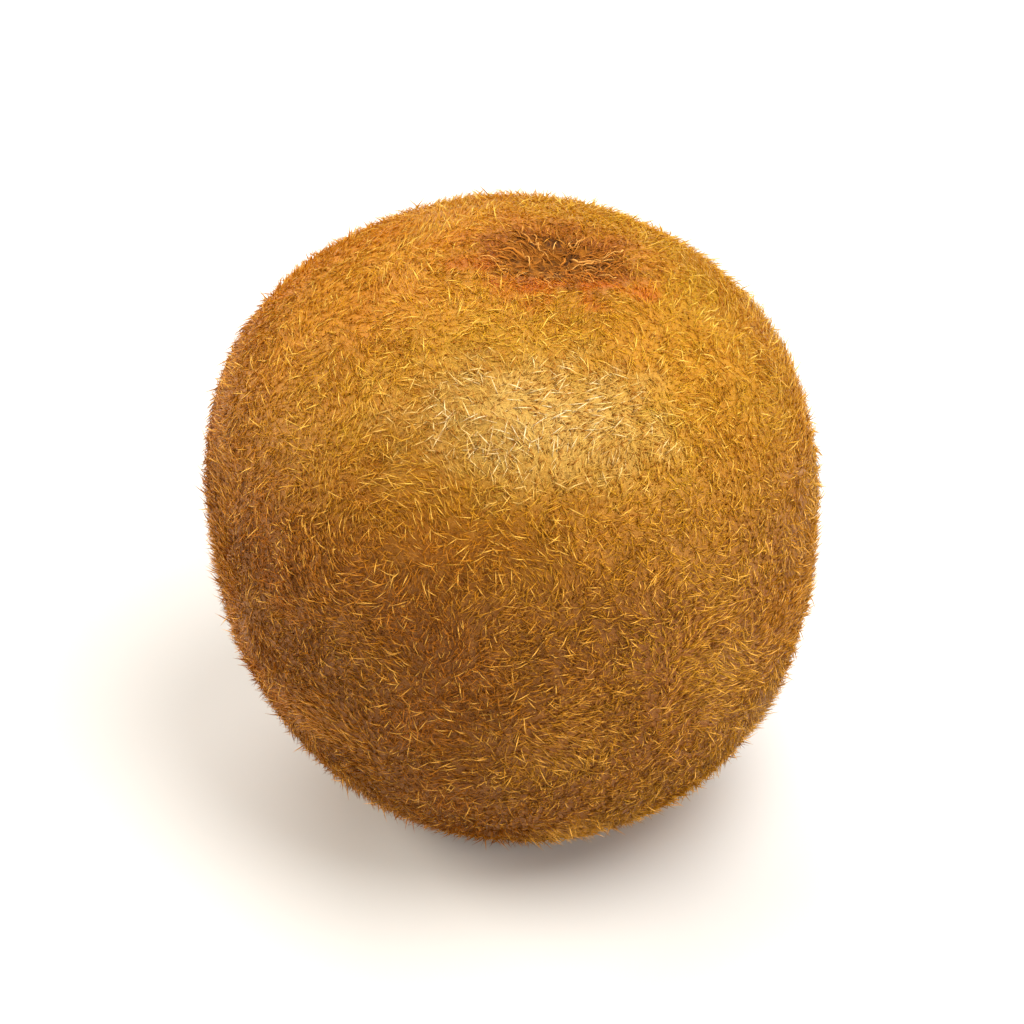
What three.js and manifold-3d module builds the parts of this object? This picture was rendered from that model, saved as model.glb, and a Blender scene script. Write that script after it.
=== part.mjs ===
// A whole green kiwi fruit, standing on its flattened stem end with the blossom end up.
// Millimetres, +Z up. The origin is on the surface it stands on, at the middle of the fruit's box.
// Three pieces grow on it: the fruit with its skin, the dried calyx that the stalk broke out of, in
// the hollow underneath, and the withered styles and stamens in the shallow hollow on top.

import * as THREE from "three";
import { mergeVertices } from "three/addons/utils/BufferGeometryUtils.js";
import Module from "manifold-3d";

// Fruit body
const fruitWidth = 52.4;
const fruitDepth = 50.2;
const fruitHeight = 56.4;
const widestLevel = 31.6;
const baseRoundness = 2.42;
const crownRoundness = 2.2;

// The shoulder that grew fuller than the rest, high up on the -X side
const shoulderDirection = new THREE.Vector3(-0.93, 0.05, 0.36).normalize();
const shoulderSwell = 2.3;
const shoulderSpread = 0.95;

// Gentle lumps in two sets, by how many go round, where they start, and how they lean on the way up
const lumps = {
  height: 0.26,
  broad: { count: 3, start: 2.4, lean: 1.6 },
  narrow: { count: 5, start: -0.6, lean: -3.1, share: 0.5 },
};

// The swell and the lumps grow from nothing to their full size between these two levels
const footFade = [1, 15];

// Stem end: a ring to stand on, round a hollow that holds the calyx
const footOuterRadius = 9.8;
const footInnerRadius = 6.9;
const stemHollowDepth = 2.9;

// Blossom end: a shallow hollow, off the middle, wider than it is deep
const blossomCentre = new THREE.Vector2(3.5, 2.6);
const blossomHollow = { halfWidth: 6.4, halfDepth: 4.2, depth: 1.5, floor: 0.25, rim: 1.15 };
const blossomLip = { height: 0.4, reach: 1.35, spread: 0.4 };

// Calyx: five dried sepals round the scar of the stalk
const sepalCount = 5;
const firstSepalHeading = 0.4;
const sepal = { length: 4.5, halfWidth: 2.0, taper: 0.3, thickness: 0.7, root: 0.9, twist: 0.3, curl: 0.025 };
const scar = { radius: 2.1, lowerRadius: 1.8, height: 1.15 };
const scarPit = { radius: 1.1, floorRadius: 0.9, depth: 0.8 };

// Withered flower parts: a crust on the hollow's floor, with the styles curling out of it
const crust = { halfWidth: 5.0, halfDepth: 2.9, thickness: 0.75 };
const crustNotches = [
  { count: 5, start: 0.7, depth: 0.1 },
  { count: 9, start: 2, depth: 0.06 },
];
const styleCount = 34;
const style = { radius: 0.32, shortest: 1.7, longest: 3.5, sideways: 0.5, lowest: 0.42, highest: 0.98 };
const styleRootReach = 0.75;
const styleArch = [0.15 * Math.PI, 0.9 * Math.PI];
const styleSeed = 17;

// Clearance between pieces that grow against each other
const gap = 0.35;

// Mesh fineness
const aroundSegments = 72;
const stemHollowRows = 6;
const baseRows = 17;
const crownRows = 22;
const crownRowSpacing = 0.86;
const sepalSides = 12;
const sepalRows = 8;
const scarSides = 20;
const crustSides = 30;
const crustRows = 8;
const styleSides = 3;
const styleRows = 4;

function smoothStep(low, high, value) {
  const t = THREE.MathUtils.clamp((value - low) / (high - low), 0, 1);
  return t * t * (3 - 2 * t);
}

function seededRandom(seed) {
  let state = seed;
  return function next() {
    state = (state * 1664525 + 1013904223) % 4294967296;
    return state / 4294967296;
  };
}

// Share of the half height that a rounded section still has at a share of its radius
function sectionHeight(radiusShare, roundness) {
  return Math.pow(1 - Math.pow(radiusShare, roundness), 1 / roundness);
}

// Outline of one half of the fruit, from the roof of the stem hollow out and up to the crown
function fruitProfile() {
  const radius = fruitWidth / 2;
  const points = [];
  for (let row = 0; row <= stemHollowRows; row += 1) {
    const share = Math.pow(Math.sin((Math.PI / 2) * (row / stemHollowRows)), 2 / baseRoundness);
    const level = stemHollowDepth * sectionHeight(share, baseRoundness);
    points.push(new THREE.Vector2(footInnerRadius * share, level));
  }
  points.push(new THREE.Vector2(footOuterRadius, 0));
  const baseReach = widestLevel / sectionHeight(footOuterRadius / radius, baseRoundness);
  const footAngle = Math.acos(Math.pow(footOuterRadius / radius, baseRoundness / 2));
  for (let row = 1; row <= baseRows; row += 1) {
    const share = Math.pow(Math.cos(footAngle * (1 - row / baseRows)), 2 / baseRoundness);
    const level = widestLevel - baseReach * sectionHeight(share, baseRoundness);
    points.push(new THREE.Vector2(radius * share, level));
  }
  const crownReach = fruitHeight - widestLevel;
  for (let row = 1; row < crownRows; row += 1) {
    const angle = (Math.PI / 2) * Math.pow(row / crownRows, crownRowSpacing);
    const share = Math.pow(Math.cos(angle), 2 / crownRoundness);
    const level = widestLevel + crownReach * sectionHeight(share, crownRoundness);
    points.push(new THREE.Vector2(radius * share, level));
  }
  points.push(new THREE.Vector2(0, fruitHeight));
  return points;
}

// Height of the lumps, none at the two ends of the fruit
function lumpAt(point) {
  const around = Math.atan2(point.y, point.x);
  const up = point.z / fruitHeight;
  const { broad, narrow } = lumps;
  const broadWave = Math.sin(broad.count * around + broad.start + broad.lean * up) * Math.sin(Math.PI * up);
  const narrowWave = Math.sin(narrow.count * around + narrow.start + narrow.lean * up);
  return lumps.height * (broadWave + narrow.share * narrowWave * Math.sin(2 * Math.PI * up));
}

// Height that the blossom end's hollow and its raised lip add to the crown
function blossomRelief(x, y) {
  const across = (x - blossomCentre.x) / blossomHollow.halfWidth;
  const back = (y - blossomCentre.y) / blossomHollow.halfDepth;
  const reach = Math.hypot(across, back);
  const bowl = blossomHollow.depth * (1 - smoothStep(blossomHollow.floor, blossomHollow.rim, reach));
  const lip = blossomLip.height * Math.exp(-Math.pow((reach - blossomLip.reach) / blossomLip.spread, 2));
  return lip - bowl;
}

function shapeFruit(geometry) {
  const core = new THREE.Vector3(0, 0, widestLevel);
  const position = geometry.attributes.position;
  const point = new THREE.Vector3();
  for (let index = 0; index < position.count; index += 1) {
    point.fromBufferAttribute(position, index);
    point.y *= fruitDepth / fruitWidth;
    const outward = point.clone().sub(core).normalize();
    const turn = outward.angleTo(shoulderDirection) / shoulderSpread;
    const swell = shoulderSwell * Math.exp(-turn * turn) + lumpAt(point);
    point.addScaledVector(outward, swell * smoothStep(...footFade, point.z));
    if (point.z > widestLevel) {
      point.z += blossomRelief(point.x, point.y);
    }
    position.setXYZ(index, point.x, point.y, point.z);
  }
}

function fruitGeometry() {
  const lathe = new THREE.LatheGeometry(fruitProfile(), aroundSegments);
  lathe.rotateX(Math.PI / 2);
  const geometry = closedCopy(lathe);
  shapeFruit(geometry);
  geometry.computeBoundingBox();
  const middle = geometry.boundingBox.getCenter(new THREE.Vector3());
  geometry.translate(-middle.x, -middle.y, 0);
  geometry.userData.shift = new THREE.Vector2(-middle.x, -middle.y);
  return geometry;
}

// Merges the seam and the poles of a three.js shape, so that it is one closed surface
function closedCopy(geometry) {
  const bare = geometry.clone();
  bare.deleteAttribute("normal");
  bare.deleteAttribute("uv");
  const merged = mergeVertices(bare, 1e-4);
  const corners = merged.index.array;
  const kept = [];
  for (let index = 0; index < corners.length; index += 3) {
    const [a, b, c] = [corners[index], corners[index + 1], corners[index + 2]];
    if (a !== b && b !== c && c !== a) {
      kept.push(a, b, c);
    }
  }
  merged.setIndex(kept);
  return merged;
}

function facesOutward(geometry) {
  const position = geometry.attributes.position;
  const corners = geometry.index.array;
  const [a, b, c] = [new THREE.Vector3(), new THREE.Vector3(), new THREE.Vector3()];
  let volume = 0;
  for (let index = 0; index < corners.length; index += 3) {
    a.fromBufferAttribute(position, corners[index]);
    b.fromBufferAttribute(position, corners[index + 1]);
    c.fromBufferAttribute(position, corners[index + 2]);
    volume += a.dot(b.cross(c)) / 6;
  }
  return volume > 0;
}

function turnedOutward(geometry) {
  if (facesOutward(geometry)) {
    return geometry;
  }
  const corners = geometry.index.array;
  for (let index = 0; index < corners.length; index += 3) {
    [corners[index], corners[index + 1]] = [corners[index + 1], corners[index]];
  }
  return geometry;
}

// Joins overlapping closed shapes into one solid
const wasm = await Module();
wasm.setup();

function solidOf(geometry) {
  const closed = turnedOutward(closedCopy(geometry));
  return new wasm.Manifold(
    new wasm.Mesh({
      numProp: 3,
      vertProperties: new Float32Array(closed.attributes.position.array),
      triVerts: new Uint32Array(closed.index.array),
    }),
  );
}

function fusedGeometry(geometries) {
  let solid = solidOf(geometries[0]);
  for (const geometry of geometries.slice(1)) {
    solid = solid.add(solidOf(geometry));
  }
  const mesh = solid.getMesh();
  const fused = new THREE.BufferGeometry();
  fused.setAttribute("position", new THREE.BufferAttribute(new Float32Array(mesh.vertProperties), 3));
  fused.setIndex(new THREE.BufferAttribute(new Uint32Array(mesh.triVerts), 1));
  return fused;
}

// Finds the fruit's skin straight above or below a point, for what grows against it
function skinFinder(fruit, lookDirection) {
  const caster = new THREE.Raycaster();
  const start = lookDirection > 0 ? -fruitHeight : 2 * fruitHeight;
  return function skinLevel(x, y) {
    caster.set(new THREE.Vector3(x, y, start), new THREE.Vector3(0, 0, lookDirection));
    return caster.intersectObject(fruit)[0].point.z;
  };
}

function bend(geometry, rule) {
  const position = geometry.attributes.position;
  const point = new THREE.Vector3();
  for (let index = 0; index < position.count; index += 1) {
    point.fromBufferAttribute(position, index);
    rule(point);
    position.setXYZ(index, point.x, point.y, point.z);
  }
  return geometry;
}

// One egg-shaped sepal, laid from the scar outwards, one edge under its neighbour
function sepalGeometry(heading, centre, roofLevel) {
  const blade = new THREE.SphereGeometry(1, sepalSides, sepalRows);
  blade.rotateZ(Math.PI / 2);
  return bend(blade, (point) => {
    const along = ((point.x + 1) / 2) * sepal.length;
    const across = point.y * sepal.halfWidth * (1 - sepal.taper * point.x);
    const through = point.z * (sepal.thickness / 2);
    const reach = sepal.root + along;
    const x = centre.x + reach * Math.cos(heading) - across * Math.sin(heading);
    const y = centre.y + reach * Math.sin(heading) + across * Math.cos(heading);
    const drop = sepal.twist * (sepal.halfWidth + across) + sepal.curl * along * along;
    const back = roofLevel(centre.x, centre.y) - gap - sepal.thickness / 2;
    const clear = roofLevel(x, y) - gap - sepal.thickness / 2;
    point.set(x, y, Math.min(back - drop, clear) + through);
  });
}

// The broken-off stalk's scar: a low woody collar with a pit in it, hanging under the hollow's roof
function scarGeometry(centre, roofLevel) {
  const top = roofLevel(centre.x, centre.y) - gap;
  const bottom = top - scar.height;
  const profile = [
    new THREE.Vector2(0, bottom + scarPit.depth),
    new THREE.Vector2(scarPit.floorRadius, bottom + scarPit.depth),
    new THREE.Vector2(scarPit.radius, bottom),
    new THREE.Vector2(scar.lowerRadius, bottom),
    new THREE.Vector2(scar.radius, top),
    new THREE.Vector2(0, top),
  ];
  const collar = new THREE.LatheGeometry(profile, scarSides);
  collar.rotateX(Math.PI / 2);
  collar.translate(centre.x, centre.y, 0);
  return collar;
}

function calyxGeometry(fruit) {
  const roofLevel = skinFinder(fruit, 1);
  const centre = fruit.geometry.userData.shift;
  const pieces = [scarGeometry(centre, roofLevel)];
  for (let count = 0; count < sepalCount; count += 1) {
    const heading = firstSepalHeading + (count / sepalCount) * 2 * Math.PI;
    pieces.push(sepalGeometry(heading, centre, roofLevel));
  }
  return fusedGeometry(pieces);
}

// How far the crust's ragged edge reaches in a direction, as a share of its even outline
function raggedReach(around) {
  const notches = crustNotches.map((notch) => notch.depth * Math.sin(notch.count * around + notch.start));
  return notches.reduce((reach, depth) => reach + depth, 1);
}

// The crust of withered petals and stamens on the floor of the blossom hollow, domed more above than below
function crustGeometry(centre, floorLevel) {
  const button = new THREE.SphereGeometry(1, crustSides, crustRows);
  button.rotateX(Math.PI / 2);
  const halfThickness = crust.thickness / 2;
  return bend(button, (point) => {
    const reach = raggedReach(Math.atan2(point.y, point.x));
    const x = centre.x + point.x * crust.halfWidth * reach;
    const y = centre.y + point.y * crust.halfDepth * reach;
    const through = point.z * (point.z > 0 ? crust.thickness : halfThickness);
    point.set(x, y, floorLevel(x, y) + gap + halfThickness + through);
  });
}

// One dried style: a slim three-sided thorn that rises out of the crust and curls over
function styleGeometry(centre, floorLevel, random) {
  const heading = 2 * Math.PI * random();
  const start = styleRootReach * Math.sqrt(random());
  const length = style.shortest + (style.longest - style.shortest) * random();
  const sideways = style.sideways * (2 * random() - 1);
  const rise = style.lowest + (style.highest - style.lowest) * random();
  const rootX = centre.x + start * crust.halfWidth * Math.cos(heading);
  const rootY = centre.y + start * crust.halfDepth * Math.sin(heading);
  const thorn = new THREE.ConeGeometry(style.radius, 1, styleSides, styleRows);
  thorn.rotateX(Math.PI / 2);
  return bend(thorn, (point) => {
    const along = point.z + 0.5;
    const forward = length * along;
    const aside = sideways * length * along * along + point.x;
    const x = rootX + forward * Math.cos(heading) - aside * Math.sin(heading);
    const y = rootY + forward * Math.sin(heading) + aside * Math.cos(heading);
    const arch = Math.sin(THREE.MathUtils.lerp(styleArch[0], styleArch[1], along));
    const lift = gap + style.radius + rise * arch;
    point.set(x, y, floorLevel(x, y) + lift + point.y);
  });
}

function driedStylesGeometry(fruit) {
  const floorLevel = skinFinder(fruit, -1);
  const centre = blossomCentre.clone().add(fruit.geometry.userData.shift);
  const random = seededRandom(styleSeed);
  const pieces = [crustGeometry(centre, floorLevel)];
  for (let count = 0; count < styleCount; count += 1) {
    pieces.push(styleGeometry(centre, floorLevel, random));
  }
  return fusedGeometry(pieces);
}

function namedMesh(name, geometry, color, roughness) {
  const material = new THREE.MeshStandardMaterial({ color, roughness, metalness: 0 });
  const mesh = new THREE.Mesh(turnedOutward(geometry), material);
  mesh.name = name;
  return mesh;
}

const kiwi = new THREE.Group();
const fruit = namedMesh("fruit", fruitGeometry(), 0xa9742c, 0.85);
kiwi.add(fruit);
kiwi.add(namedMesh("calyx", calyxGeometry(fruit), 0x8f6f42, 0.9));
kiwi.add(namedMesh("dried_styles", driedStylesGeometry(fruit), 0x53341a, 0.95));

export default kiwi;
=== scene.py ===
"""A whole green kiwi fruit with its coat of hairs, standing on its stem end on a pale surface."""

import math

import bmesh
import bpy
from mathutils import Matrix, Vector, noise
from mathutils.bvhtree import BVHTree


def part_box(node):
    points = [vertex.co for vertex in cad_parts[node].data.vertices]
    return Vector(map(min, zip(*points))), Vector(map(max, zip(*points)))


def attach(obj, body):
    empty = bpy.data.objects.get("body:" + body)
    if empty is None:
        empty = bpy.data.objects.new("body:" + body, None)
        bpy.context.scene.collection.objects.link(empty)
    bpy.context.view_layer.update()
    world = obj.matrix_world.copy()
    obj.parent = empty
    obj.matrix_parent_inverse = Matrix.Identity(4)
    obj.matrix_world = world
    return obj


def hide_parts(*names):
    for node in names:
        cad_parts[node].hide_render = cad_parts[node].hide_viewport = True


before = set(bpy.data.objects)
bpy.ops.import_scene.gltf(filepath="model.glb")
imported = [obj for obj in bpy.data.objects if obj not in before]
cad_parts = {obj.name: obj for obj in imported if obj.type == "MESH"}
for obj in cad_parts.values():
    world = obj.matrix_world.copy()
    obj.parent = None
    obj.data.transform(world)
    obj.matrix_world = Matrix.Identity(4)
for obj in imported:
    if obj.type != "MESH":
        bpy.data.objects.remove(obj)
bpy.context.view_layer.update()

# Skin
# The real skin is thin, tough and olive brown, with a fine leathery grain and small raised pores.
# It is the fruit's own solid, rounded off and given its fine relief, and the hairs grow out of it.

MM = 0.001
FRUIT_HEIGHT = Vector(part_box("fruit")[1]).z

# The blossom end is wider than it is deep, so distances from it count more along Y
STYLES_LOW, STYLES_HIGH = (Vector(corner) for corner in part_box("dried_styles"))
BLOSSOM_CENTRE = (STYLES_LOW + STYLES_HIGH) / 2
BLOSSOM_CENTRE.z = STYLES_LOW.z
FLATTEN = (1.0, 1.55, 1.0)
FLAT_BLOSSOM = tuple(a * b for a, b in zip(BLOSSOM_CENTRE, FLATTEN))

# Blossom brown, rust and the painted shade at the base are full at their first distance or height and fade
# to the second; the green of the +X side grows from the first to the second.
# Two edges are ragged by a distance.
BLOSSOM_EDGES = (5.0 * MM, 10.5 * MM)
BLOSSOM_RAGGED = 1.8 * MM
RUST_EDGES = (9.0 * MM, 12.0 * MM)
RUST_FRONT = (BLOSSOM_CENTRE.y - 3.5 * MM, BLOSSOM_CENTRE.y + 1.0 * MM)
RUST_BEHIND = 0.2
PAINTED_SHADE_EDGES = (0.6 * FRUIT_HEIGHT, 1.0 * FRUIT_HEIGHT)
PAINTED_SHADE_LEAN = 0.12
GREENER_SIDE = (-12 * MM, 14 * MM)
# The painted highlight on the front shoulder: its centre, stretch, reach and ragged edge
PAINTED_HIGHLIGHT_CENTRE = Vector((0.035, -0.262, 0.9)) * FRUIT_HEIGHT
PAINTED_HIGHLIGHT_STRETCH = (0.7, 1.4, 1.4)
PAINTED_HIGHLIGHT_REACH = 11.0 * MM
PAINTED_HIGHLIGHT_RAGGED = 2.2 * MM


def colour(red, green, blue):
    """Turns a colour as seen on a screen, 0 to 255, into the linear one that a shader takes."""
    shares = [value / 255 for value in (red, green, blue)]
    linear = [share / 12.92 if share <= 0.04045 else ((share + 0.055) / 1.055) ** 2.4 for share in shares]
    return (*linear, 1.0)


class Tree:
    """Adds nodes to a node tree, and joins their sockets by name or by place."""

    def __init__(self, tree):
        self.tree = tree

    def feed(self, socket, value):
        """Links an input to another node's output, or sets it to a plain value."""
        if isinstance(value, bpy.types.NodeSocket):
            self.tree.links.new(value, socket)
        else:
            socket.default_value = value

    def add(self, kind, inputs=None, **settings):
        node = self.tree.nodes.new(kind)
        for name, value in settings.items():
            setattr(node, name, value)
        for key, value in (inputs or {}).items():
            self.feed(node.inputs[key], value)
        return node

    def math(self, operation, first, second=0.0, third=0.0):
        return self.add("ShaderNodeMath", {0: first, 1: second, 2: third}, operation=operation).outputs[0]

    def vector(self, operation, first, second=(0, 0, 0)):
        node = self.add("ShaderNodeVectorMath", {0: first, 1: second}, operation=operation)
        scalar = operation in ("DOT_PRODUCT", "LENGTH", "DISTANCE")
        return node.outputs["Value" if scalar else "Vector"]

    def scaled(self, vector, share):
        inputs = {0: vector, "Scale": share}
        return self.add("ShaderNodeVectorMath", inputs, operation="SCALE").outputs["Vector"]

    def axes(self, vector):
        return self.add("ShaderNodeSeparateXYZ", {0: vector}).outputs

    def between(self, value, low, high, out_low=0.0, out_high=1.0):
        inputs = {"Value": value, "From Min": low, "From Max": high, "To Min": out_low, "To Max": out_high}
        return self.add("ShaderNodeMapRange", inputs, interpolation_type="SMOOTHSTEP").outputs["Result"]

    def blend(self, share, first, second):
        return self.add("ShaderNodeMix", {0: share, 6: first, 7: second}, data_type="RGBA").outputs[2]

    def noise(self, place, scale, detail=2.0, roughness=0.5, distortion=0.0):
        inputs = {"Vector": place, "Scale": scale, "Detail": detail,
                  "Roughness": roughness, "Distortion": distortion}
        return self.add("ShaderNodeTexNoise", inputs).outputs

    def chance(self, low, high, seed, kind="FLOAT"):
        inputs = {"Min": low, "Max": high, "Seed": seed}
        return self.add("FunctionNodeRandomValue", inputs, data_type=kind).outputs["Value"]

    def stored(self, geometry, name, value, domain):
        inputs = {"Geometry": geometry, "Name": name, "Value": value}
        kind = "GeometryNodeStoreNamedAttribute"
        return self.add(kind, inputs, data_type="FLOAT", domain=domain).outputs[0]


def new_group(name, kind, inputs, outputs):
    """Makes a node group with named inputs and outputs, and returns its tree with both end nodes."""
    group = bpy.data.node_groups.new(name, kind)
    for socket_name, socket_type, default in inputs:
        socket = group.interface.new_socket(socket_name, in_out="INPUT", socket_type=socket_type)
        if default is not None:
            socket.default_value = default
    for socket_name, socket_type in outputs:
        group.interface.new_socket(socket_name, in_out="OUTPUT", socket_type=socket_type)
    entry = group.nodes.new("NodeGroupInput").outputs
    leave = group.nodes.new("NodeGroupOutput").inputs
    return group, Tree(group), entry, leave


def new_material(name):
    """Makes a material, and returns it with its node tree and its shader's inputs."""
    material = bpy.data.materials.new(name)
    material.use_nodes = True
    return material, Tree(material.node_tree), material.node_tree.nodes["Principled BSDF"].inputs


def ripening_and_painted_light_group():
    """Masks over the whole fruit for skin and hair colour: own browning, rust and patches, painted shade and
    a painted highlight.
    """
    names = ("Blossom", "Rust", "Base", "Patches and painted lit tint", "Painted highlight", "Painted gap shade")
    inputs = [("Patch Size", "NodeSocketFloat", 12.0 * MM)]
    outputs = [(name, "NodeSocketFloat") for name in names]
    group, tree, entry, leave = new_group("Ripening and painted light", "ShaderNodeTree", inputs, outputs)
    place = tree.add("ShaderNodeTexCoord").outputs["Object"]
    parts = tree.axes(place)
    ragged = tree.noise(place, 420.0, 3.0)[0]

    # Browner round the blossom end, with rusty spots in front of it
    away = tree.vector("DISTANCE", tree.vector("MULTIPLY", place, FLATTEN), FLAT_BLOSSOM)
    away = tree.math("ADD", away, tree.between(ragged, 0.2, 0.8, -BLOSSOM_RAGGED, BLOSSOM_RAGGED))
    blossom = tree.between(away, *BLOSSOM_EDGES, 1.0, 0.0)
    spots = tree.between(tree.noise(place, 250.0)[0], 0.43, 0.6)
    rust = tree.math("MULTIPLY", tree.between(away, *RUST_EDGES, 1.0, 0.0), spots)
    rust = tree.math("MULTIPLY", rust, tree.between(parts["Y"], *RUST_FRONT, 1.0, RUST_BEHIND))

    # Painted shade: redder and darker towards the base, less so on the +X side
    height = tree.math("MULTIPLY_ADD", tree.math("MAXIMUM", parts["X"], 0.0), PAINTED_SHADE_LEAN, parts["Z"])
    base = tree.between(height, *PAINTED_SHADE_EDGES, 1.0, 0.0)

    # A painted highlight: pale on the shoulder in front
    shoulder = tree.vector("MULTIPLY", tree.vector("SUBTRACT", place, tuple(PAINTED_HIGHLIGHT_CENTRE)), PAINTED_HIGHLIGHT_STRETCH)
    frayed = tree.between(ragged, 0.25, 0.75, -PAINTED_HIGHLIGHT_RAGGED, PAINTED_HIGHLIGHT_RAGGED)
    shoulder = tree.math("ADD", tree.vector("LENGTH", shoulder), frayed)
    painted_highlight = tree.between(shoulder, 0.0, 1.1 * PAINTED_HIGHLIGHT_REACH, 1.0, 0.0)

    # Greener in cloudy patches and on the +X side, and a greener painted lit tint round the painted
    # highlight
    scale = tree.math("DIVIDE", 1.0, entry["Patch Size"])
    cloudy = tree.between(tree.noise(place, scale, 3.0, 0.55)[0], 0.36, 0.64, 0.0, 0.4)
    greener_side = tree.between(parts["X"], *GREENER_SIDE, 0.0, 0.6)
    painted_lit_tint_round_highlight = tree.between(shoulder, 0.6 * PAINTED_HIGHLIGHT_REACH, 2.0 * PAINTED_HIGHLIGHT_REACH, 0.7, 0.0)
    patches_and_painted_lit_tint = tree.math("ADD", cloudy, tree.math("MAXIMUM", greener_side, painted_lit_tint_round_highlight))

    # Painted shade where the coat parts between its tufts
    painted_gap_shade = tree.between(tree.noise(place, 430.0, 2.0, distortion=0.8)[0], 0.5, 0.3)

    for name, value in zip(names, (blossom, rust, base, patches_and_painted_lit_tint, painted_highlight, painted_gap_shade)):
        tree.feed(leave[name], value)
    return group


RIPENING_AND_PAINTED_LIGHT = ripening_and_painted_light_group()


def skin_material():
    material, tree, shader = new_material("Kiwi skin")
    place = tree.add("ShaderNodeTexCoord").outputs["Object"]
    ripening_and_light = tree.add("ShaderNodeGroup", node_tree=RIPENING_AND_PAINTED_LIGHT).outputs
    # Greener in patches, with a painted lit tint round the painted highlight
    tint = tree.blend(ripening_and_light["Patches and painted lit tint"], colour(190, 114, 10), colour(182, 128, 16))
    # Painted shade: darker and redder towards the base
    tint = tree.blend(ripening_and_light["Base"], tint, colour(124, 68, 7))
    # Painted highlight: paler skin on the front shoulder
    tint = tree.blend(ripening_and_light["Painted highlight"], tint, colour(206, 162, 74))
    tint = tree.blend(ripening_and_light["Blossom"], tint, colour(150, 76, 10))
    tint = tree.blend(ripening_and_light["Rust"], tint, colour(182, 92, 8))
    felt = tree.noise(place, 4200.0, 5.0, 0.65, 0.5)[0]
    tint = tree.blend(tree.between(felt, 0.25, 0.5, 0.45, 0.0), tint, colour(96, 54, 8))
    tint = tree.blend(tree.between(felt, 0.5, 0.75, 0.0, 0.6), tint, colour(206, 146, 58))
    pores = tree.add("ShaderNodeTexVoronoi", {"Vector": place, "Scale": 700.0}).outputs["Distance"]
    pore_mask = tree.between(pores, 0.08, 0.2, 0.35, 0.0)
    tint = tree.blend(pore_mask, tint, colour(96, 54, 12))
    relief = tree.math("ADD", felt, tree.math("MULTIPLY", pore_mask, 0.8))
    bump = tree.add("ShaderNodeBump", {"Strength": 0.8, "Distance": 0.14 * MM, "Height": relief})
    tree.feed(shader["Base Color"], tint)
    tree.feed(shader["Roughness"], tree.between(felt, 0.3, 0.7, 0.42, 0.56))
    tree.feed(shader["Specular Tint"], colour(255, 232, 190))
    tree.feed(shader["Normal"], bump.outputs[0])
    return material


def in_scene(name, data):
    """Makes an object that shows a mesh, a lamp or a camera."""
    shown = bpy.data.objects.new(name, data)
    bpy.context.scene.collection.objects.link(shown)
    return shown


def plain_piece(rough, name):
    """Keeps what an object's modifiers make of it as a plain mesh object, and removes the rough one."""
    bpy.context.view_layer.update()
    evaluated = rough.evaluated_get(bpy.context.evaluated_depsgraph_get())
    mesh = bpy.data.meshes.new_from_object(evaluated)
    bpy.data.objects.remove(rough)
    mesh.name = name
    return in_scene(name, mesh)


def socket_named(group, name):
    """Finds the identifier of a named input, by which a modifier's values are set."""
    for item in group.interface.items_tree:
        if item.item_type == "SOCKET" and item.in_out == "INPUT" and item.name == name:
            return item.identifier
    raise KeyError(name)


def grown(base, group, name, **values):
    """Runs a node tree on a copy of a mesh and keeps the result as a plain mesh object."""
    seedling = in_scene(f"{name} seedling", base.data.copy())
    modifier = seedling.modifiers.new("Growth", "NODES")
    modifier.node_group = group
    for key, value in values.items():
        modifier[socket_named(group, key)] = value
    return plain_piece(seedling, name)


def merged_solid(node_name):
    """Copies a solid's mesh with its loose triangles joined."""
    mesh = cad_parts[node_name].data.copy()
    work = bmesh.new()
    work.from_mesh(mesh)
    bmesh.ops.remove_doubles(work, verts=work.verts, dist=0.002 * MM)
    bmesh.ops.join_triangles(
        work, faces=work.faces, angle_face_threshold=math.radians(30), angle_shape_threshold=math.radians(40)
    )
    work.to_mesh(mesh)
    work.free()
    return in_scene(f"{node_name} solid", mesh)


def skin_tree(material):
    """Rounds the solid off and raises a shallow unevenness, which dies out at the ring it stands on."""
    inputs = [
        ("Solid", "NodeSocketGeometry", None),
        ("Unevenness", "NodeSocketFloat", 0.12 * MM),
        ("Dimple Size", "NodeSocketFloat", 3.5 * MM),
        ("Fineness", "NodeSocketInt", 1),
    ]
    outputs = [("Skin", "NodeSocketGeometry")]
    group, tree, entry, leave = new_group("Skin", "GeometryNodeTree", inputs, outputs)
    smooth = {"Mesh": entry["Solid"], "Level": entry["Fineness"]}
    rounded = tree.add("GeometryNodeSubdivisionSurface", smooth).outputs[0]
    place = tree.add("GeometryNodeInputPosition").outputs[0]
    normal = tree.add("GeometryNodeInputNormal").outputs[0]
    dimples = tree.noise(place, tree.math("DIVIDE", 1.0, entry["Dimple Size"]))[0]
    off_the_floor = tree.between(tree.axes(place)["Z"], 0.5 * MM, 4 * MM)
    rise = tree.math("MULTIPLY", tree.between(dimples, 0.2, 0.8, -1.0, 1.0), entry["Unevenness"])
    shift = tree.scaled(normal, tree.math("MULTIPLY", rise, off_the_floor))
    raised = tree.add("GeometryNodeSetPosition", {"Geometry": rounded, "Offset": shift}).outputs[0]
    shaded = tree.add("GeometryNodeSetShadeSmooth", {0: raised}).outputs[0]
    joined = tree.add("GeometryNodeRealizeInstances", {0: shaded}).outputs[0]
    finished = tree.add("GeometryNodeSetMaterial", {"Geometry": joined, "Material": material}).outputs[0]
    tree.feed(leave["Skin"], finished)
    return group


fruit_solid = merged_solid("fruit")
skin = grown(fruit_solid, skin_tree(skin_material()), "skin")
bpy.data.objects.remove(fruit_solid)
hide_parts("fruit")
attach(skin, "root")

# Coat of hairs
# Stiff golden-brown hairs, 1 to 2 mm long, cover the whole skin and lie over it in swirls, with a
# shorter down between them. They are rooted in the skin, in bands from the base up to the crown.

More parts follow.
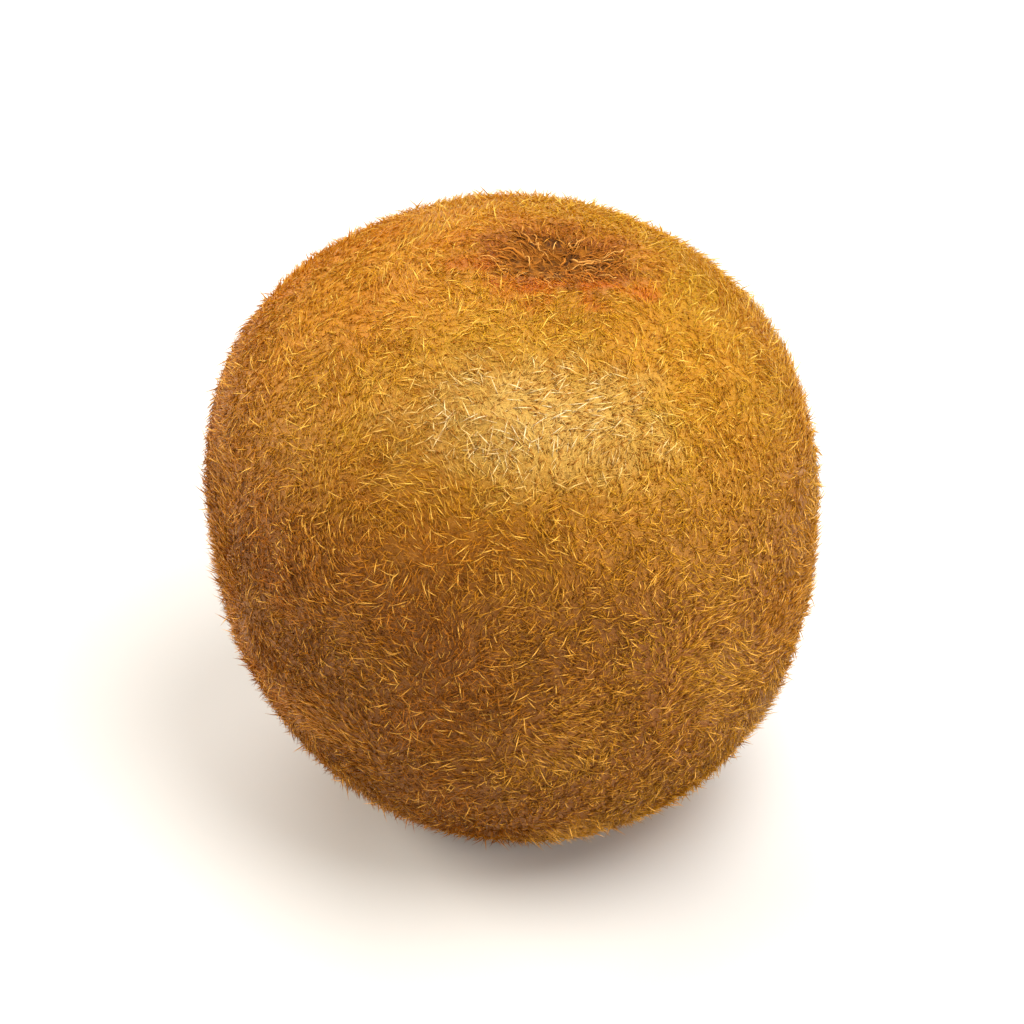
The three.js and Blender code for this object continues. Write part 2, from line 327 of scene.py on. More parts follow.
# The top of each band, as a share of the fruit's height, so that all hold about as many hairs
BAND_TOPS = {
    "coat_base": 0.207,
    "coat_belly": 0.41,
    "coat_waist": 0.61,
    "coat_shoulder": 0.805,
    "coat_crown": 1.1,
}
LOWEST_BAND = -0.1
SEEDS_BETWEEN_BANDS = 1000
SEEDS_TO_DOWN = 101

# How far the hairs keep off the calyx and off the crust
CALYX_LOW, CALYX_HIGH = (Vector(corner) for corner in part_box("calyx"))
CALYX_CENTRE = (CALYX_LOW + CALYX_HIGH) / 2
CALYX_REACH = 5.8 * MM
CRUST_REACH = 5.9 * MM

# A shape's bends, as a share of its length, how much it swells midway, and how a bent tip drops
HAIR_BENDS = (0.45, 0.3, 0.1)
DOWN_BENDS = (0.0, 0.1, 0.2)
BULGE = 2.2
DIP = -0.35
ROOT_DEPTH = 0.06 * MM

# Hairs between the ring it stands on and the floor are pressed to about this height, and shaded flat
PRESSED_HEIGHT = 0.025 * MM
FLAT_BELOW = 0.06 * MM


def hair_material():
    material, tree, shader = new_material("Kiwi hair")
    ripening_and_light = tree.add("ShaderNodeGroup", node_tree=RIPENING_AND_PAINTED_LIGHT).outputs
    tone = tree.add("ShaderNodeAttribute", attribute_name="tone").outputs["Fac"]
    along = tree.add("ShaderNodeAttribute", attribute_name="along").outputs["Fac"]
    # Painted shade: each hair colour darker and redder towards the base
    dark = tree.blend(ripening_and_light["Base"], colour(176, 104, 10), colour(116, 62, 6))
    gold = tree.blend(ripening_and_light["Base"], colour(212, 138, 16), colour(188, 107, 11))
    olive = tree.blend(ripening_and_light["Base"], colour(206, 158, 30), colour(204, 144, 30))
    straw = tree.blend(ripening_and_light["Base"], colour(240, 192, 76), colour(246, 180, 72))
    # Greener in patches, with a painted lit tint round the painted highlight
    common = tree.blend(ripening_and_light["Patches and painted lit tint"], gold, olive)
    # Painted highlight: paler common and straw hairs on the front shoulder
    common = tree.blend(ripening_and_light["Painted highlight"], common, colour(224, 186, 104))
    straw = tree.blend(ripening_and_light["Painted highlight"], straw, colour(248, 230, 180))
    tint = tree.blend(tree.between(tone, 0.0, 0.5), dark, common)
    tint = tree.blend(tree.between(tone, 0.62, 0.86), tint, straw)
    withered = tree.blend(tree.between(tone, 0.3, 1.0), colour(140, 72, 12), colour(218, 136, 34))
    tint = tree.blend(tree.math("MULTIPLY", ripening_and_light["Blossom"], 0.8), tint, withered)
    tint = tree.blend(tree.math("MULTIPLY", ripening_and_light["Rust"], 0.75), tint, colour(208, 106, 4))
    # Painted shade where the coat parts between its tufts
    tint = tree.blend(tree.math("MULTIPLY", ripening_and_light["Painted gap shade"], 0.4), tint, dark)
    tint = tree.blend(tree.between(along, 0.0, 0.4, 0.3, 0.0), tint, colour(130, 76, 10))
    tree.feed(shader["Base Color"], tint)
    tree.feed(shader["Roughness"], tree.between(tone, 0.0, 1.0, 0.46, 0.34))
    tree.feed(shader["Specular IOR Level"], 0.4)
    tree.feed(shader["Specular Tint"], colour(255, 230, 180))
    return material


def hair_shape(tree, length, thickness, rings, bend):
    """One tapered three-sided hair that stands along Z and bends over towards X."""
    cone = {"Vertices": 3, "Side Segments": rings, "Fill Segments": 1,
            "Radius Top": 0.0, "Radius Bottom": thickness, "Depth": length}
    hair = tree.add("GeometryNodeMeshCone", cone, fill_type="NGON").outputs["Mesh"]
    place = tree.add("GeometryNodeInputPosition").outputs[0]
    share = tree.math("DIVIDE", tree.axes(place)["Z"], length)
    swell = tree.math("MULTIPLY", share, tree.math("SUBTRACT", 1.0, share))
    fullness = tree.math("MULTIPLY_ADD", swell, BULGE, 1.0)
    swelling = tree.add("ShaderNodeCombineXYZ", {0: fullness, 1: fullness, 2: 1.0}).outputs[0]
    fuller = tree.vector("MULTIPLY", place, swelling)
    over = tree.math("MULTIPLY", tree.math("MULTIPLY", tree.math("POWER", share, 2.0), bend), length)
    shift = tree.add("ShaderNodeCombineXYZ", {"X": over, "Z": tree.math("MULTIPLY", over, DIP)}).outputs[0]
    curved = tree.vector("ADD", fuller, shift)
    bent = tree.add("GeometryNodeSetPosition", {"Geometry": hair, "Position": curved}).outputs[0]
    return tree.stored(bent, "along", share, "POINT")


def hair_shapes(tree, length, thickness, rings, bends):
    """The few shapes that a layer of hairs picks from."""
    shapes = tree.add("GeometryNodeGeometryToInstance")
    for bend in bends:
        tree.feed(shapes.inputs[0], hair_shape(tree, length, thickness, rings, bend))
    return shapes.outputs[0]


def laid(tree, lean, outward, upright):
    """Turns what stands along Z to lie over the surface the way it leans, and to bow down towards it."""
    into_surface = tree.scaled(outward, tree.vector("DOT_PRODUCT", lean, outward))
    along_surface = tree.vector("NORMALIZE", tree.vector("SUBTRACT", lean, into_surface))
    heading = tree.vector("ADD", along_surface, tree.scaled(outward, upright))
    risen = tree.add("FunctionNodeAlignRotationToVector", {"Vector": heading}, axis="Z").outputs[0]
    bowed = {"Rotation": risen, "Vector": tree.scaled(outward, -1.0)}
    return tree.add("FunctionNodeAlignRotationToVector", bowed, axis="X", pivot_axis="Z").outputs[0]


def planted(tree, points, shapes, last_shape, turned, size_range, tone_range, seeds):
    """Sets shapes on points, picked, sized and toned at random by the three seeds."""
    size_seed, pick_seed, tone_seed = seeds
    placed = {"Points": points, "Instance": shapes, "Pick Instance": True,
              "Instance Index": tree.chance(0, last_shape, pick_seed, "INT"),
              "Rotation": turned, "Scale": tree.chance(*size_range, size_seed)}
    plants = tree.add("GeometryNodeInstanceOnPoints", placed).outputs[0]
    return tree.stored(plants, "tone", tree.chance(*tone_range, tone_seed), "INSTANCE")


def coat_layer(tree, entry, shapes, density, seed, size_range, stand, tone_range):
    """Sows one layer of hairs on the skin between two heights, and lays them along a common swirl."""
    place = tree.add("GeometryNodeInputPosition").outputs[0]
    height = tree.axes(place)["Z"]
    above = tree.math("GREATER_THAN", height, entry["Low"])
    below = tree.math("LESS_THAN", height, entry["High"])
    off_the_ring = tree.between(height, 0.15 * MM, 1.2 * MM, 0.4, 1.0)
    to_calyx = tree.vector("DISTANCE", place, tuple(CALYX_CENTRE))
    off_the_calyx = tree.math("GREATER_THAN", to_calyx, CALYX_REACH)
    to_crust = tree.vector("DISTANCE", tree.vector("MULTIPLY", place, FLATTEN), FLAT_BLOSSOM)
    off_the_crust = tree.between(to_crust, 0.65 * CRUST_REACH, 1.05 * CRUST_REACH)
    factor = tree.math("MULTIPLY", tree.math("MULTIPLY", above, below), off_the_ring)
    factor = tree.math("MULTIPLY", factor, tree.math("MULTIPLY", off_the_calyx, off_the_crust))
    sow = {"Mesh": entry["Skin"], "Density": tree.math("MULTIPLY", density, factor), "Seed": seed}
    sown = tree.add("GeometryNodeDistributePointsOnFaces", sow, distribute_method="RANDOM").outputs
    normal = tree.add("GeometryNodeCaptureAttribute", {"Geometry": sown["Points"]}, domain="POINT")
    normal.capture_items.new("VECTOR", "Normal")
    tree.feed(normal.inputs["Normal"], sown["Normal"])
    points, outward = normal.outputs["Geometry"], normal.outputs["Normal"]

    scale = tree.math("DIVIDE", 1.0, entry["Swirl Size"])
    broad = tree.noise(place, scale, 1.0)["Color"]
    swirl = tree.scaled(tree.vector("SUBTRACT", broad, (0.5, 0.5, 0.5)), 4.0)
    stray = tree.chance((-1.0, -1.0, -1.0), (1.0, 1.0, 1.0), seed, "FLOAT_VECTOR")
    stray = tree.scaled(stray, entry["Disorder"])
    lean = tree.vector("ADD", tree.vector("ADD", swirl, stray), (0.0, 0.0, 0.25))
    chance = tree.chance(0.0, 1.0, tree.math("ADD", seed, 5))
    few_upright = tree.math("POWER", chance, 5.0)
    mostly_flat = tree.math("MULTIPLY_ADD", chance, stand, 0.4 * stand)
    upright = tree.math("ADD", few_upright, mostly_flat)
    turned = laid(tree, lean, outward, upright)

    sunk = tree.scaled(outward, -ROOT_DEPTH)
    rooted = tree.add("GeometryNodeSetPosition", {"Geometry": points, "Offset": sunk}).outputs[0]
    seeds = [tree.math("ADD", seed, step) for step in (11, 17, 23)]
    return planted(tree, rooted, shapes, 2, turned, size_range, tone_range, seeds)


def coat_tree(material):
    """Grows long bent hairs and short, nearly straight down on one band of the skin."""
    inputs = [
        ("Skin", "NodeSocketGeometry", None),
        ("Low", "NodeSocketFloat", 0.0),
        ("High", "NodeSocketFloat", 1.0),
        ("Hair Density", "NodeSocketFloat", 4.4e6),
        ("Down Density", "NodeSocketFloat", 13.0e6),
        ("Hair Length", "NodeSocketFloat", 1.85 * MM),
        ("Hair Thickness", "NodeSocketFloat", 0.06 * MM),
        ("Down Length", "NodeSocketFloat", 1.25 * MM),
        ("Down Thickness", "NodeSocketFloat", 0.055 * MM),
        ("Swirl Size", "NodeSocketFloat", 8.0 * MM),
        ("Disorder", "NodeSocketFloat", 0.55),
        ("Seed", "NodeSocketInt", 1),
    ]
    outputs = [("Coat", "NodeSocketGeometry")]
    group, tree, entry, leave = new_group("Coat", "GeometryNodeTree", inputs, outputs)
    long_shapes = hair_shapes(tree, entry["Hair Length"], entry["Hair Thickness"], 2, HAIR_BENDS)
    down_shapes = hair_shapes(tree, entry["Down Length"], entry["Down Thickness"], 1, DOWN_BENDS)
    seed = entry["Seed"]
    down_seed = tree.math("ADD", seed, SEEDS_TO_DOWN)
    hairs = coat_layer(tree, entry, long_shapes, entry["Hair Density"], seed,
                       (0.55, 1.2), 0.3, (0.25, 1.0))
    down = coat_layer(tree, entry, down_shapes, entry["Down Density"], down_seed,
                      (0.7, 1.2), 0.35, (0.0, 0.62))
    both = tree.add("GeometryNodeJoinGeometry", {0: hairs})
    tree.feed(both.inputs[0], down)
    joined = tree.add("GeometryNodeRealizeInstances", {0: both.outputs[0]}).outputs[0]
    parts = tree.axes(tree.add("GeometryNodeInputPosition").outputs[0])
    pressed = tree.math("MAXIMUM", parts["Z"], tree.math("MULTIPLY_ADD", parts["Z"], 0.01, PRESSED_HEIGHT))
    place = tree.add("ShaderNodeCombineXYZ", {0: parts["X"], 1: parts["Y"], 2: pressed}).outputs[0]
    flat = tree.add("GeometryNodeSetPosition", {"Geometry": joined, "Position": place}).outputs[0]
    round_hairs = tree.math("GREATER_THAN", parts["Z"], FLAT_BELOW)
    shaded = tree.add("GeometryNodeSetShadeSmooth", {"Geometry": flat, "Selection": round_hairs}).outputs[0]
    finished = tree.add("GeometryNodeSetMaterial", {"Geometry": shaded, "Material": material}).outputs[0]
    tree.feed(leave["Coat"], finished)
    return group


hair_coat = coat_tree(hair_material())
band_low = LOWEST_BAND
for band, (name, band_top) in enumerate(BAND_TOPS.items(), start=1):
    band_values = {"Low": band_low * FRUIT_HEIGHT, "High": band_top * FRUIT_HEIGHT}
    coat = grown(skin, hair_coat, name, Seed=SEEDS_BETWEEN_BANDS * band, **band_values)
    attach(coat, "root")
    band_low = band_top

# Calyx
# Five small dried sepals lie like a star in the hollow at the stem end, round the scar of the stalk.
# They are thin, stiff and curled, veined lengthwise, and grow out of the rim of the scar.

SEPAL_COUNT = 5
FIRST_SEPAL_HEADING = 0.4
SEPAL_ROOT = 1.7 * MM
SEPAL_REACH = 5.0 * MM
SEPAL_HALF_WIDTH = 1.9 * MM
SEPAL_THICKNESS = 0.35 * MM
SEPAL_ROWS, SEPAL_COLUMNS = 14, 8
EDGE_WAVE = 0.4 * MM
EDGE_CURL = 0.4 * MM
TIP_CURL = 0.5 * MM
SEPAL_KEEL = 0.3 * MM
SEPAL_CRUMPLE = 0.16 * MM
SEPAL_RIBS = 0.05 * MM
LEAST_RISE = 0.5 * MM
SCAR_RADIUS = 2.1 * MM
SCAR_RISE = 1.1 * MM
SCAR_SEGMENTS = 40
PIT_RADIUS = 1.1 * MM
PIT_DEPTH = 0.8 * MM
CALYX_GAP = 0.5 * MM

skin_surface = BVHTree.FromObject(skin, bpy.context.evaluated_depsgraph_get())
foot_ring = [vertex.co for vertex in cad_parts["fruit"].data.vertices if vertex.co.z < 0.01 * MM]
stem_axis = sum(foot_ring, Vector()) / len(foot_ring)


def under_skin(x, y):
    """Height of the skin over a place of the stem end, as met from below."""
    return skin_surface.ray_cast(Vector((x, y, -MM)), Vector((0, 0, 1)))[0].z


def sheet_faces(work, rows):
    """Joins equal rows of points into a sheet, with a UV map that runs along and across it."""
    uv_layer = work.loops.layers.uv.verify()
    last_row, last_column = len(rows) - 1, len(rows[0]) - 1
    for row in range(last_row):
        for column in range(last_column):
            corners = [(row, column), (row, column + 1), (row + 1, column + 1), (row + 1, column)]
            face = work.faces.new([rows[i][j] for i, j in corners])
            for loop, (i, j) in zip(face.loops, corners):
                loop[uv_layer].uv = (i / last_row, j / last_column)


def ring_faces(work, rings):
    """Joins rings of points one after another; the first and the last ring are a single point each."""
    segments = max(len(ring) for ring in rings)
    for first, second in zip(rings, rings[1:]):
        for segment in range(segments):
            after = segment + 1
            corners = [first[segment % len(first)], first[after % len(first)],
                       second[after % len(second)], second[segment % len(second)]]
            work.faces.new(list(dict.fromkeys(corners)))


def finished_piece(work, name, material):
    """Turns the faces of a closed shape outwards, rounds it off once and keeps it as a plain mesh object."""
    bmesh.ops.recalc_face_normals(work, faces=work.faces)
    for face in work.faces:
        face.smooth = True
    mesh = bpy.data.meshes.new(f"{name} rough")
    work.to_mesh(mesh)
    work.free()
    mesh.materials.append(material)
    rough = in_scene(f"{name} rough", mesh)
    rounding = rough.modifiers.new("Rounding", "SUBSURF")
    rounding.levels = 1
    rounding.render_levels = 1
    return plain_piece(rough, name)


def add_sepal(work, number):
    """One sepal: broad near its root, pointed, hollow along its midrib, with rolled and crumpled edges."""
    middle = FIRST_SEPAL_HEADING + math.tau * number / SEPAL_COUNT
    rows = []
    for i in range(SEPAL_ROWS + 1):
        along = i / SEPAL_ROWS
        radius = SEPAL_ROOT + (SEPAL_REACH - SEPAL_ROOT) * along
        width = SEPAL_HALF_WIDTH * (0.6 + 1.5 * along) * max(0.02, 1 - along) ** 0.75
        row = []
        for j in range(SEPAL_COLUMNS + 1):
            across = 2 * j / SEPAL_COLUMNS - 1
            crumple = noise.noise(Vector((3 * along, 2 * across, 7.0 * number)))
            angle = middle + (across * width + EDGE_WAVE * crumple * along) / radius
            x = stem_axis.x + radius * math.cos(angle)
            y = stem_axis.y + radius * math.sin(angle)
            curl = EDGE_CURL * across ** 4 * along + TIP_CURL * along ** 3
            relief = SEPAL_CRUMPLE * crumple + SEPAL_RIBS * math.cos(9 * across)
            below = CALYX_GAP + SEPAL_KEEL * abs(across) * (1 - along) + curl + relief
            row.append(work.verts.new((x, y, max(LEAST_RISE, under_skin(x, y) - below))))
        rows.append(row)
    sheet_faces(work, rows)


def add_scar(work):
    """The scar of the stalk: a rough rounded ring round a fibrous pit."""
    top = under_skin(stem_axis.x, stem_axis.y) - 0.5 * CALYX_GAP
    profile = [
        (0.0, 0.0),
        (SCAR_RADIUS, 0.0),
        (1.08 * SCAR_RADIUS, 0.35 * SCAR_RISE),
        (0.98 * SCAR_RADIUS, 0.8 * SCAR_RISE),
        (0.8 * SCAR_RADIUS, SCAR_RISE),
        (0.62 * SCAR_RADIUS, 0.95 * SCAR_RISE),
        (PIT_RADIUS, SCAR_RISE - 0.5 * PIT_DEPTH),
        (0.8 * PIT_RADIUS, SCAR_RISE - PIT_DEPTH),
        (0.4 * PIT_RADIUS, SCAR_RISE - 0.8 * PIT_DEPTH),
        (0.0, SCAR_RISE - 0.9 * PIT_DEPTH),
    ]
    rings = []
    for radius, drop in profile:
        ring = []
        for segment in range(SCAR_SEGMENTS if radius else 1):
            angle = math.tau * segment / SCAR_SEGMENTS
            rough = noise.noise(Vector((4 * math.cos(angle), 4 * math.sin(angle), 2 * (radius + drop) / MM)))
            reach = radius * (1 + 0.1 * rough)
            fall = drop * (1 + 0.2 * rough)
            x = stem_axis.x + reach * math.cos(angle)
            y = stem_axis.y + reach * math.sin(angle)
            ring.append(work.verts.new((x, y, top - fall)))
        rings.append(ring)
    ring_faces(work, rings)


def calyx_material():
    material, tree, shader = new_material("Dry calyx")
    coordinates = tree.add("ShaderNodeTexCoord").outputs
    place = coordinates["Object"]
    across = tree.axes(coordinates["UV"])["Y"]
    mottle = tree.noise(place, 900.0, 4.0, 0.6)[0]
    fibres = tree.noise(tree.vector("MULTIPLY", place, (1.0, 1.0, 0.3)), 3200.0)[0]
    veins = tree.between(tree.math("SINE", tree.math("MULTIPLY", across, 14 * math.pi)), 0.55, 1.0)
    tint = tree.blend(tree.between(mottle, 0.35, 0.65), colour(118, 72, 32), colour(160, 112, 58))
    tint = tree.blend(tree.math("MULTIPLY", veins, 0.5), tint, colour(98, 58, 24))
    tint = tree.blend(tree.between(fibres, 0.5, 0.7, 0.0, 0.4), tint, colour(200, 152, 92))
    outward = tree.vector("MULTIPLY", tree.vector("SUBTRACT", place, tuple(stem_axis)), (1.0, 1.0, 0.0))
    pit = tree.between(tree.vector("LENGTH", outward), 0.3 * PIT_RADIUS, 1.3 * PIT_RADIUS, 0.75, 0.0)
    tint = tree.blend(pit, tint, colour(70, 42, 18))
    relief = tree.math("ADD", fibres, tree.math("MULTIPLY", veins, 0.8))
    bump = tree.add("ShaderNodeBump", {"Strength": 0.5, "Distance": 0.05 * MM, "Height": relief})
    tree.feed(shader["Base Color"], tint)
    tree.feed(shader["Roughness"], tree.between(mottle, 0.3, 0.7, 0.7, 0.88))
    tree.feed(shader["Specular IOR Level"], 0.2)
    tree.feed(shader["Normal"], bump.outputs[0])
    return material


calyx_work = bmesh.new()
for sepal_number in range(SEPAL_COUNT):
    add_sepal(calyx_work, sepal_number)
calyx_work.normal_update()
bmesh.ops.solidify(calyx_work, geom=calyx_work.faces[:], thickness=SEPAL_THICKNESS)
add_scar(calyx_work)
calyx_piece = finished_piece(calyx_work, "dry_sepals", calyx_material())
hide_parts("calyx")
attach(calyx_piece, "root")

# Dried styles
# What is left of the flower: a thin ragged crust in the hollow of the blossom end, about thirty dry
# styles that spread from it and curl over, and a tangle of finer withered threads.

CRUST_HALF_WIDTH = 6.2 * MM
CRUST_HALF_DEPTH = 3.7 * MM
CRUST_THICKNESS = 0.55 * MM
CRUST_SUNK = 0.08 * MM
CRUST_GRAIN = 1.1 * MM
CRUST_RINGS, CRUST_SEGMENTS = 12, 56
RAY_START = 2 * FRUIT_HEIGHT
DROOPS = (0.9, 0.6, 0.4, 0.15)
STYLE_LENGTH, STYLE_THICKNESS, STYLE_KNOB = 2.7 * MM, 0.13 * MM, 0.08 * MM
STYLE_SIDES, STYLE_STEPS, STYLE_SEED = 6, 9, 41
THREAD_LENGTH, THREAD_THICKNESS, THREAD_KNOB = 1.9 * MM, 0.06 * MM, 0.05 * MM
THREAD_SIDES, THREAD_STEPS, THREAD_SEED = 4, 7, 61


def on_skin(x, y):
    """The place and the outward direction of the skin at the blossom end, as met from above."""
    place, outward, _, _ = skin_surface.ray_cast(Vector((x, y, RAY_START)), Vector((0, 0, -1)))
    return place, outward


def crust_point(share, angle, lift):
    """A point over the crust's ragged outline, lifted off the skin by its rough thickness or sunk in it."""
    ragged = 1 + 0.3 * noise.noise(Vector((1.6 * math.cos(angle), 1.6 * math.sin(angle), 5.0)))
    ragged += 0.16 * noise.noise(Vector((6 * math.cos(angle), 6 * math.sin(angle), 9.0)))
    x = BLOSSOM_CENTRE.x + CRUST_HALF_WIDTH * share * ragged * math.cos(angle)
    y = BLOSSOM_CENTRE.y + CRUST_HALF_DEPTH * share * ragged * math.sin(angle)
    place, outward = on_skin(x, y)
    lumps = 0.5 + 1.3 * abs(noise.fractal(Vector((x, y, 0)) / CRUST_GRAIN, 0.7, 2.0, 4))
    return place + outward * (CRUST_THICKNESS * (1 - share ** 4) * lumps * lift - CRUST_SUNK)


def dry_crust(material):
    """The crust: rings of points from its middle out underneath, and back in over the top."""
    work = bmesh.new()
    under = [i / CRUST_RINGS for i in range(0, CRUST_RINGS + 1, 3)]
    over = [i / CRUST_RINGS for i in range(CRUST_RINGS - 1, -1, -1)]
    rings = []
    for lift, shares in ((-0.3, under), (1.0, over)):
        for share in shares:
            segments = CRUST_SEGMENTS if share else 1
            angles = [math.tau * segment / CRUST_SEGMENTS for segment in range(segments)]
            rings.append([work.verts.new(crust_point(share, angle, lift)) for angle in angles])
    ring_faces(work, rings)
    return finished_piece(work, "crust", material)


def strand_shape(tree, length, thickness, droop, knob, variant, sides, steps):
    """One shrivelled strand that stands along Z, falls over towards X, twists, and ends in a knob."""
    fallen = {"X": droop * length, "Z": (1 - 0.45 * droop) * length}
    fallen = tree.add("ShaderNodeCombineXYZ", fallen).outputs[0]
    bow = {"Resolution": steps, "Start": (0, 0, 0), "Middle": (0, 0, 0.6 * length), "End": fallen}
    path = tree.add("GeometryNodeCurveQuadraticBezier", bow).outputs[0]
    share = tree.add("GeometryNodeSplineParameter").outputs["Factor"]
    place = tree.add("GeometryNodeInputPosition").outputs[0]
    kinks = tree.noise(tree.vector("ADD", place, (variant, 0, 0)), 1.6 / length, 1.0)["Color"]
    kinks = tree.vector("SUBTRACT", kinks, (0.5, 0.5, 0.5))
    kinks = tree.scaled(kinks, tree.math("MULTIPLY", share, 1.5 * length))
    path = tree.add("GeometryNodeSetPosition", {"Geometry": path, "Offset": kinks}).outputs[0]
    path = tree.stored(path, "along", share, "POINT")
    taper = tree.math("MULTIPLY_ADD", share, -0.5 * thickness, thickness)
    tip = tree.math("MULTIPLY", tree.math("POWER", share, 12.0), knob)
    radius = tree.math("ADD", taper, tip)
    section = tree.add("GeometryNodeCurvePrimitiveCircle", {"Resolution": sides, "Radius": 1.0}).outputs[0]
    tube = {"Curve": path, "Profile Curve": section, "Scale": radius, "Fill Caps": True}
    return tree.add("GeometryNodeCurveToMesh", tube).outputs[0]


def strand_layer(tree, crust_mesh, shapes, density, seed, outer_share, upright_high):
    """Sets strands on the crust, so that they spread away from its middle."""
    place = tree.add("GeometryNodeInputPosition").outputs[0]
    offset = tree.vector("SUBTRACT", place, tuple(BLOSSOM_CENTRE))
    reach = tree.vector("DIVIDE", offset, (CRUST_HALF_WIDTH, CRUST_HALF_DEPTH, 1.0))
    reach = tree.vector("LENGTH", tree.vector("MULTIPLY", reach, (1.0, 1.0, 0.0)))
    upwards = tree.axes(tree.add("GeometryNodeInputNormal").outputs[0])["Z"]
    on_top = tree.math("GREATER_THAN", upwards, 0.1)
    chosen = tree.math("MULTIPLY", on_top, tree.math("LESS_THAN", reach, outer_share))
    sow = {"Mesh": crust_mesh, "Density": tree.math("MULTIPLY", chosen, density), "Seed": seed}
    sown = tree.add("GeometryNodeDistributePointsOnFaces", sow, distribute_method="RANDOM").outputs
    stray = tree.chance((-1.0, -1.0, 0.0), (1.0, 1.0, 0.4), seed + 1, "FLOAT_VECTOR")
    spread = tree.scaled(offset, 1 / CRUST_HALF_DEPTH)
    lean = tree.vector("ADD", spread, tree.scaled(stray, 0.7))
    upright = tree.chance(0.1, upright_high, seed + 2)
    turned = laid(tree, lean, (0.0, 0.0, 1.0), upright)
    last_shape = len(DROOPS) - 1
    seeds = (seed + 3, seed + 4, seed + 5)
    return planted(tree, sown["Points"], shapes, last_shape, turned, (0.6, 1.2), (0.0, 1.0), seeds)


def withered_tree(material):
    """The crust with its styles and threads."""
    inputs = [
        ("Crust", "NodeSocketGeometry", None),
        ("Style Density", "NodeSocketFloat", 0.6e6),
        ("Thread Density", "NodeSocketFloat", 5.0e6),
    ]
    outputs = [("Flower", "NodeSocketGeometry")]
    group, tree, entry, leave = new_group("Withered", "GeometryNodeTree", inputs, outputs)
    styles = tree.add("GeometryNodeGeometryToInstance")
    threads = tree.add("GeometryNodeGeometryToInstance")
    for number, droop in enumerate(DROOPS):
        style = strand_shape(tree, STYLE_LENGTH, STYLE_THICKNESS, droop, STYLE_KNOB,
                             0.37 * number, STYLE_SIDES, STYLE_STEPS)
        tree.feed(styles.inputs[0], style)
        thread = strand_shape(tree, THREAD_LENGTH, THREAD_THICKNESS, droop, THREAD_KNOB,
                              0.53 * number + 0.2, THREAD_SIDES, THREAD_STEPS)
        tree.feed(threads.inputs[0], thread)
    crust_mesh = entry["Crust"]
    grown_styles = strand_layer(tree, crust_mesh, styles.outputs[0], entry["Style Density"],
                                STYLE_SEED, 0.8, 0.9)
    grown_threads = strand_layer(tree, crust_mesh, threads.outputs[0], entry["Thread Density"],
                                 THREAD_SEED, 1.1, 1.0)
    together = tree.add("GeometryNodeJoinGeometry", {0: crust_mesh})
    tree.feed(together.inputs[0], grown_styles)
    tree.feed(together.inputs[0], grown_threads)
    joined = tree.add("GeometryNodeRealizeInstances", {0: together.outputs[0]}).outputs[0]
    shaded = tree.add("GeometryNodeSetShadeSmooth", {0: joined}).outputs[0]
    finished = tree.add("GeometryNodeSetMaterial", {"Geometry": shaded, "Material": material}).outputs[0]
    tree.feed(leave["Flower"], finished)
    return group


def withered_material():
    material, tree, shader = new_material("Withered flower")
    place = tree.add("ShaderNodeTexCoord").outputs["Object"]
    tone = tree.add("ShaderNodeAttribute", attribute_name="tone").outputs["Fac"]
    along = tree.add("ShaderNodeAttribute", attribute_name="along").outputs["Fac"]
    rough = tree.noise(place, 1100.0, 4.0, 0.65)[0]
    crust_tint = tree.blend(tree.between(rough, 0.35, 0.65), colour(78, 42, 5), colour(162, 98, 22))
    strand_tint = tree.blend(tree.between(tone, 0.0, 0.6), colour(128, 70, 14), colour(184, 112, 32))
    strand_tint = tree.blend(tree.between(tone, 0.7, 1.0), strand_tint, colour(228, 168, 84))
    strand_tint = tree.blend(tree.between(rough, 0.5, 0.7, 0.0, 0.5), strand_tint, colour(104, 56, 14))
    tint = tree.blend(tree.between(along, 0.02, 0.3), crust_tint, strand_tint)
    bump = tree.add("ShaderNodeBump", {"Strength": 0.6, "Distance": 0.12 * MM, "Height": rough})
    tree.feed(shader["Base Color"], tint)
    tree.feed(shader["Roughness"], tree.between(rough, 0.3, 0.7, 0.6, 0.8))
    tree.feed(shader["Specular IOR Level"], 0.12)
    tree.feed(shader["Normal"], bump.outputs[0])
    return material


flower_material = withered_material()
crust = dry_crust(flower_material)
flower = grown(crust, withered_tree(flower_material), "withered_flower")
bpy.data.objects.remove(crust)
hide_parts("dried_styles")
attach(flower, "root")

# Surface, light and camera
# A plain pale surface, a soft lamp overhead to the right, one behind, a warm one at the left and a
# low one at the right. The camera looks down on the fruit by 40 degrees, from far off.

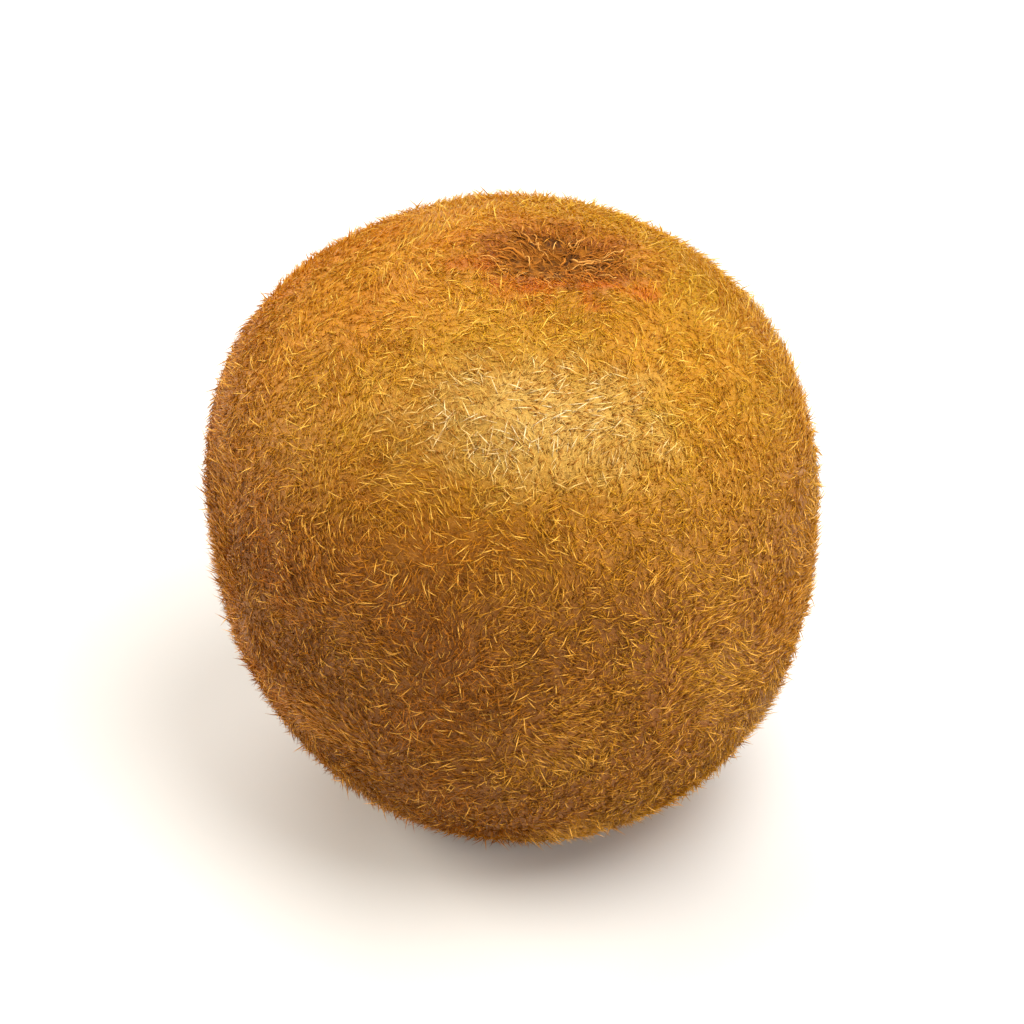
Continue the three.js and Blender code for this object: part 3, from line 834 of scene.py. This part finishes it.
FLOOR_SIZE = 4.0
SURROUNDINGS_STRENGTH = 0.26
WARM_WHITE = (1.0, 0.94, 0.84)
CAMERA_HEIGHT_DEGREES = 40.0
CAMERA_DISTANCE = 1.1
VIEW_SPAN = 92 * MM
FRUIT_MIDDLE = Vector((0.0, 0.0, 0.5 * FRUIT_HEIGHT))


def stage_floor():
    bpy.ops.mesh.primitive_plane_add(size=FLOOR_SIZE, location=(0, 0, 0))
    floor = bpy.context.object
    floor.name = "pale_surface"
    material, tree, shader = new_material("Pale surface")
    tree.feed(shader["Base Color"], colour(220, 217, 211))
    tree.feed(shader["Roughness"], 0.6)
    floor.data.materials.append(material)
    return floor


def soft_lamp(name, place, size, power, tint=(1.0, 1.0, 1.0)):
    data = bpy.data.lights.new(name, "AREA")
    data.shape = "DISK"
    data.size = size
    data.energy = power
    data.color = tint
    lamp = in_scene(name, data)
    lamp.location = place
    lamp.rotation_euler = (FRUIT_MIDDLE - Vector(place)).to_track_quat("-Z", "Y").to_euler()


def soft_surroundings(strength):
    world = bpy.data.worlds.new("Soft studio")
    world.use_nodes = True
    background = world.node_tree.nodes["Background"]
    background.inputs["Color"].default_value = (1.0, 1.0, 1.0, 1.0)
    background.inputs["Strength"].default_value = strength
    bpy.context.scene.world = world


def long_lens_camera():
    tilt = math.radians(CAMERA_HEIGHT_DEGREES)
    back = Vector((0.0, -math.cos(tilt), math.sin(tilt)))
    data = bpy.data.cameras.new("Camera")
    data.sensor_width = 36.0
    data.lens = data.sensor_width * CAMERA_DISTANCE / VIEW_SPAN
    data.clip_start = 0.05
    camera = in_scene("Camera", data)
    camera.location = FRUIT_MIDDLE + back * CAMERA_DISTANCE
    camera.rotation_euler = (-back).to_track_quat("-Z", "Y").to_euler()
    bpy.context.scene.camera = camera


stage_floor()
soft_lamp("Overhead lamp", (0.3, -0.12, 0.78), 0.65, 7.6)
soft_lamp("Back lamp", (0.0, 0.7, 0.6), 0.9, 5.9)
soft_lamp("Left side lamp", (-0.85, 0.2, 0.42), 0.7, 10.6, WARM_WHITE)
soft_lamp("Right side lamp", (0.78, -0.42, 0.08), 0.9, 12.2)
soft_surroundings(SURROUNDINGS_STRENGTH)
long_lens_camera()
bpy.context.scene.view_settings.view_transform = "Standard"
